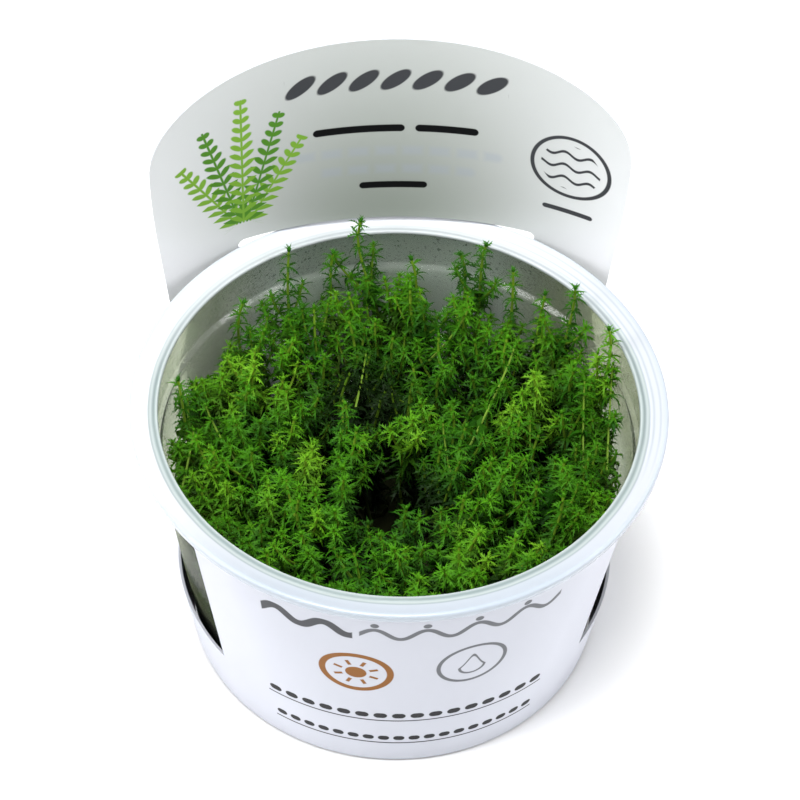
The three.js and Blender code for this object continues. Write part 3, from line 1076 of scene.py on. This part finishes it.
def waveringPath(shoot, turn, slope):
    # the frame's path with a soft bow below the tip
    def path(height):
        middle = stemPath(shoot, height)
        below = np.maximum(shoot.tip.z - height, 0)
        bow = slope * below * np.exp(-below / 11) * smooth((height - shoot.root.z) / 12)
        middle[:, 0] += bow * math.cos(turn)
        middle[:, 1] += bow * math.sin(turn)
        return middle
    return path


def alongPath(places, height, path):
    # carries flat offsets along a path, square to it; all in millimetres
    middle = path(height)
    ahead = path(height + 0.2) - path(height - 0.2)
    ahead /= np.linalg.norm(ahead, axis=1, keepdims=True)
    sideways = np.cross(np.array([0.0, 1.0, 0.0]), ahead)
    sideways /= np.linalg.norm(sideways, axis=1, keepdims=True)
    backward = np.cross(ahead, sideways)
    return middle + sideways * places[:, :1] + backward * places[:, 1:2]


def growStem(stem, low, high, radius, path, tint):
    twin = copyPiece(stem, "stem")
    places = pointsOf(twin)
    height = low + (high - low) * places[:, 2]
    thick = radius * (1.12 - 0.35 * places[:, 2])
    movePoints(twin, alongPath(places[:, :2] * thick[:, None], height, path) * mm)
    paintPoints(twin, tint=tint)
    return twin


def pressInside(places):
    # leaves that touch the wall bend along it
    reach = np.hypot(places[:, 0], places[:, 1])
    wall = innerRadius(np.minimum(places[:, 2], cupShape.collarBottom)) - plantShape.leafGap
    wall = np.where(places[:, 2] > plantShape.freeAbove, np.inf, wall)
    places[:, :2] *= np.minimum(1.0, wall / np.maximum(reach, 0.001))[:, None]
    return places


def growSprig(sprig, tipHeight, size, path, tint):
    twin = copyPiece(sprig, "sprig")
    turn = Matrix.Rotation(dice.uniform(0, 2 * math.pi), 4, "Z")
    twin.data.transform(turn @ Matrix.Scale(size, 4))
    places = pointsOf(twin) / mm
    movePoints(twin, pressInside(alongPath(places[:, :2], tipHeight + places[:, 2], path)) * mm)
    paintPoints(twin, tint=tint)
    return twin


def sidePath(start, end, bow):
    # from the parent stem out and then up
    def path(height):
        share = np.clip((height - start[2]) / (end[2] - start[2]), -0.2, 1.2)
        out = 1 - (1 - share) * np.abs(1 - share) ** bow
        x = start[0] + (end[0] - start[0]) * out
        y = start[1] + (end[1] - start[1]) * out
        return np.stack([x, y, height], -1)
    return path


def insideCup(x, y):
    most = innerRadius(44) - plantShape.wallMargin
    share = min(1.0, most / max(math.hypot(x, y), 1e-6))
    return x * share, y * share


def growTwig(sprig, templates, low, top, thin, size, path, tint, parts, stemTint=None):
    # a thin side stem with a sprig at its tip
    stemTint = tint if stemTint is None else stemTint
    radius = plantShape.stemRadius * thin
    parts.append(growStem(templates["twig"], low, top - 0.6, radius, path, stemTint))
    parts.append(growSprig(sprig, top, size, path, tint))


def growShoot(shoot, templates, parts):
    p, tip = plantShape, shoot.tip
    path = waveringPath(shoot, dice.uniform(0, 2 * math.pi), dice.uniform(0.15, 0.55))
    tint = dice.random()
    if any(isNear(tip, spot, p.paleReach) for spot in p.paleSpots):
        tint = p.paleTint
    if isNear(tip, p.clearing, p.dimReach) or isNear(tip, p.dimSpot, p.dimSpotReach):
        tint = p.dimTint
    kind = "tall" if shoot.tall else "main" if tip.z > p.lowBelow else "low"
    if isNear(tip, p.clearing, p.deepReach) and tip.z > p.deepAbove:
        kind = "deep"
    stemTint = tint + (0.7 if shoot.tall else 0.0)
    low, high = shoot.root.z, tip.z - 0.7
    parts.append(growStem(templates["stem"], low, high, p.stemRadius, path, stemTint))
    parts.append(growSprig(dice.choice(templates[kind]), tip.z, 1.0, path, tint))
    outside = tip.xy.length > p.outerField
    if outside and abs(tip.x) > wallShape.windowFrom:
        growWallSprigs(tip, path, templates, parts)
    growSides(shoot, path, outside and not shoot.tall, tint, templates, parts)


def growSides(shoot, path, outer, tint, templates, parts):
    # side shoots that leave the stem one after another round it, more of them by the wall
    s, tip = sideShape, shoot.tip
    lofty = tip.z > plantShape.loftyAbove
    fromTip = s.loftyDrop if lofty else s.tallDrop if shoot.tall else 0.0
    turn = dice.uniform(0, 2 * math.pi)
    for i in range(s.count + (s.more if outer or lofty else 0)):
        drop = dice.uniform(*s.drop) + fromTip + i * s.spacing
        if outer:
            drop = dice.uniform(*s.outerDrop) + i * s.spacing
            turn = math.atan2(tip.y, tip.x) - s.turn + dice.uniform(-1.3, 1.3)
        top = tip.z - drop
        low = top - dice.uniform(*s.length)
        start = path(np.array([low]))[0]
        turn += s.turn + dice.uniform(-0.5, 0.5)
        reach = dice.uniform(*s.reach)
        atTop = path(np.array([top]))[0]
        x, y = insideCup(atTop[0] + reach * math.cos(turn), atTop[1] + reach * math.sin(turn))
        if isNear((x, y), plantShape.clearing, plantShape.openRadius):
            continue
        side = sidePath(start, (x, y, top), s.bow)
        sideTint = max(0.0, tint + dice.uniform(-0.25, 0.25))
        sprig, size = dice.choice(templates["side"]), dice.uniform(*s.size)
        growTwig(sprig, templates, low, top, s.thin, size, side, sideTint, parts)


def growWallSprigs(tip, path, templates, parts):
    # old side shoots that press against the wall, seen through the sleeve's two windows
    w = wallShape
    for i in range(w.count):
        top = w.lowest + w.spacing * i
        low = top - w.length
        zigzag = w.zigzag if i % 2 else -w.zigzag
        turn = math.atan2(tip.y, tip.x) + zigzag + dice.uniform(-0.06, 0.06)
        reach = innerRadius(top - 4) - w.gap
        start = path(np.array([low]))[0]
        side = sidePath(start, (reach * math.cos(turn), reach * math.sin(turn), top), w.bow)
        tint = dice.random() ** 2
        sprig = dice.choice(templates["wall"])
        growTwig(sprig, templates, low, top, w.thin, 1.0, side, tint, parts)


def growStrays(crowns, crown, templates, parts):
    # each long, pale side shoot belongs to the plant whose crown is nearest
    s = strayShape
    for foot, tip in strayShoots:
        if min(crowns, key=lambda spot: (spot - Vector(foot[:2])).length) != crown:
            continue
        side = sidePath(foot, (*insideCup(tip[0], tip[1]), tip[2]), s.bow)
        sprig = dice.choice(templates["side"])
        growTwig(sprig, templates, foot[2] - 1.5, tip[2], s.thin, 1.0, side, s.leafTint, parts,
                 s.stemTint)
        halfway = foot[2] + (tip[2] - foot[2]) * 0.5
        sprig = dice.choice(templates["side"])
        parts.append(growSprig(sprig, halfway, s.lowerSize, side, s.leafTint))


# painted shade where the leaves lie deep in the clearing and the hollow: middle, reach, the height it
# darkens under and how fast
paintedShadePlaces = [(0.5, -12.5, 6.5, 51.5, 7.0), (-5.5, 13.5, 6.5, 57.0, 6.0)]


def leafMaterial():
    paint = Paint("milfoilLeaf")
    x, y, z = paint.split()
    along, depth, tint = paint.attribute("along"), paint.attribute("depth"), paint.attribute("tint")
    blotch = paint.noise(0.16, 3.0)
    fine = paint.noise(1.3, 2.0)
    # pale towards the tips of the shoots, where the leaves are young, and darkest further down, partly
    # from age and partly as painted shade
    young = (1 - depth * 1.8).clamped() * 0.75 + tint * 0.5 - 0.42 + (blotch - 0.5) * 1.3
    pale = ((tint - 0.86) * 4.0).clamped() * (1 - depth) * 0.75
    # low down the leaves are old, and painted shade makes them dark inside, while painted light makes
    # them yellow-green where light comes through the wall
    outer = length(x, y).rising(31.0, 9.0) * (0.12 + tint * 0.88).clamped()
    old = paint.mix(outer, (0.003, 0.008, 0.001), (0.150, 0.300, 0.032))
    # painted shade in the clearing and the hollow
    clearing, hollow = [
        (1.9 - length(x - a, y - b) / reach).clamped() * z.falling(top, fade)
        for a, b, reach, top, fade in paintedShadePlaces]
    colour = paint.over(
        paint.mix(young.clamped(), (0.004, 0.050, 0.001), (0.062, 0.235, 0.004)),
        (pale, (0.15, 0.33, 0.014)),
        # warmer at the foot of a leaf, darker on the buds of tall shoots
        ((1 - along).clamped() * 0.30, (0.070, 0.19, 0.004)),
        ((-along).clamped() * 0.8, (0.010, 0.075, 0.003)),
        ((fine - 0.35).clamped() * 0.6, (0.006, 0.055, 0.002)),
        (z.falling(47.0, 16.0), old),
        (clearing.most(hollow) * 0.96, (0.003, 0.009, 0.001)))
    return paint.finish(Base_Color=colour, Roughness=0.46 + 0.2 * fine,
                        Normal=paint.bump(fine, 0.25, 0.0002), Specular_IOR_Level=0.09)


def stemMaterial():
    paint = Paint("milfoilStem")
    z = paint.split()[2]
    tint = paint.attribute("tint")
    streak = paint.noise(0.7, 3.0)
    colour = paint.mix(tint * 0.6 + streak * 0.4, (0.085, 0.18, 0.010), (0.17, 0.29, 0.020))
    # the leaning shoots have a tint of 2, above all others, and a paler stem
    colour = paint.mix(((tint - 1.8) * 6.0).clamped(), colour, (0.135, 0.235, 0.022))
    colour = paint.mix(z.rising(16.0, 32.0), (0.03, 0.045, 0.008), colour)
    return paint.finish(Base_Color=colour, Roughness=0.4 + 0.2 * streak,
                        Normal=paint.bump(streak, 0.2, 0.0002), Specular_IOR_Level=0.2)


def makeTemplates():
    leaf = makeLeaf(leafShape)
    forms = {
        "young": bentLeaf(leaf, "youngLeaf", 64, 20),
        "open": bentLeaf(leaf, "openLeaf", 30, 34),
        "old": bentLeaf(leaf, "oldLeaf", 16, 42),
    }
    for name, cuts in (("plain", 2), ("blade", 1)):
        straight = makeOldLeaf(leafShape, cuts)
        forms[name] = bentLeaf(straight, name + "Bent", 22, 50)
        dropPiece(straight)
    bud = makeBud(budShape)
    leafGreen, stemGreen = leafMaterial(), stemMaterial()
    for piece in (*forms.values(), bud):
        piece.data.materials.append(leafGreen)
    templates = {"stem": makeStem("stemTemplate", 6, 11), "twig": makeStem("twigTemplate", 5, 4)}
    helpers = [leaf, bud, *forms.values(), *templates.values()]
    for stem in templates.values():
        stem.data.materials.append(stemGreen)
    for kind, (plan, budSize, count) in sprigKinds.items():
        templates[kind] = [makeSprig(f"{kind}{i}", plan, forms, bud, budSize) for i in range(count)]
        helpers += templates[kind]
    return templates, helpers


def makeCrown(crown, family, material):
    # a low mound of old leaf bases on the gel
    reach = 1.3 + 1.2 * max((shoot.root.xy - crown).length for shoot in family)
    foot = plantShape.gelTop + plantShape.gap
    mound = startPiece("crown", bpy.ops.mesh.primitive_cylinder_add, vertices=10,
                       radius=reach * mm, depth=1.2 * mm,
                       location=(crown.x * mm, crown.y * mm, (foot + 0.6) * mm))
    editMode()
    selectFaces(mound, lambda middle, normal: normal.z > 0.9)
    bpy.ops.mesh.inset(thickness=0.45 * mm)
    bpy.ops.transform.translate(value=(0, 0, 0.2 * mm))
    objectMode()
    paintPoints(mound, along=0.0, depth=1.0, tint=0.3)
    mound.data.materials.append(material)
    return mound


def growPlants():
    templates, helpers = makeTemplates()
    stemGreen = templates["stem"].data.materials[0]
    triangles = 0
    plants = listPlants(plantShape)
    crowns = [crown for crown, family in plants]
    for i, (crown, family) in enumerate(plants):
        parts = [makeCrown(crown, family, stemGreen)]
        for shoot in family:
            growShoot(shoot, templates, parts)
        growStrays(crowns, crown, templates, parts)
        plant = joinPieces(parts, f"milfoil_{i + 1:02d}")
        dress(plant, "plant", f"plant_{i + 1:02d}")
        triangles += sum(len(face.vertices) - 2 for face in plant.data.polygons)
    for piece in helpers:
        dropPiece(piece)
    return triangles


print("plants", growPlants(), "triangles")
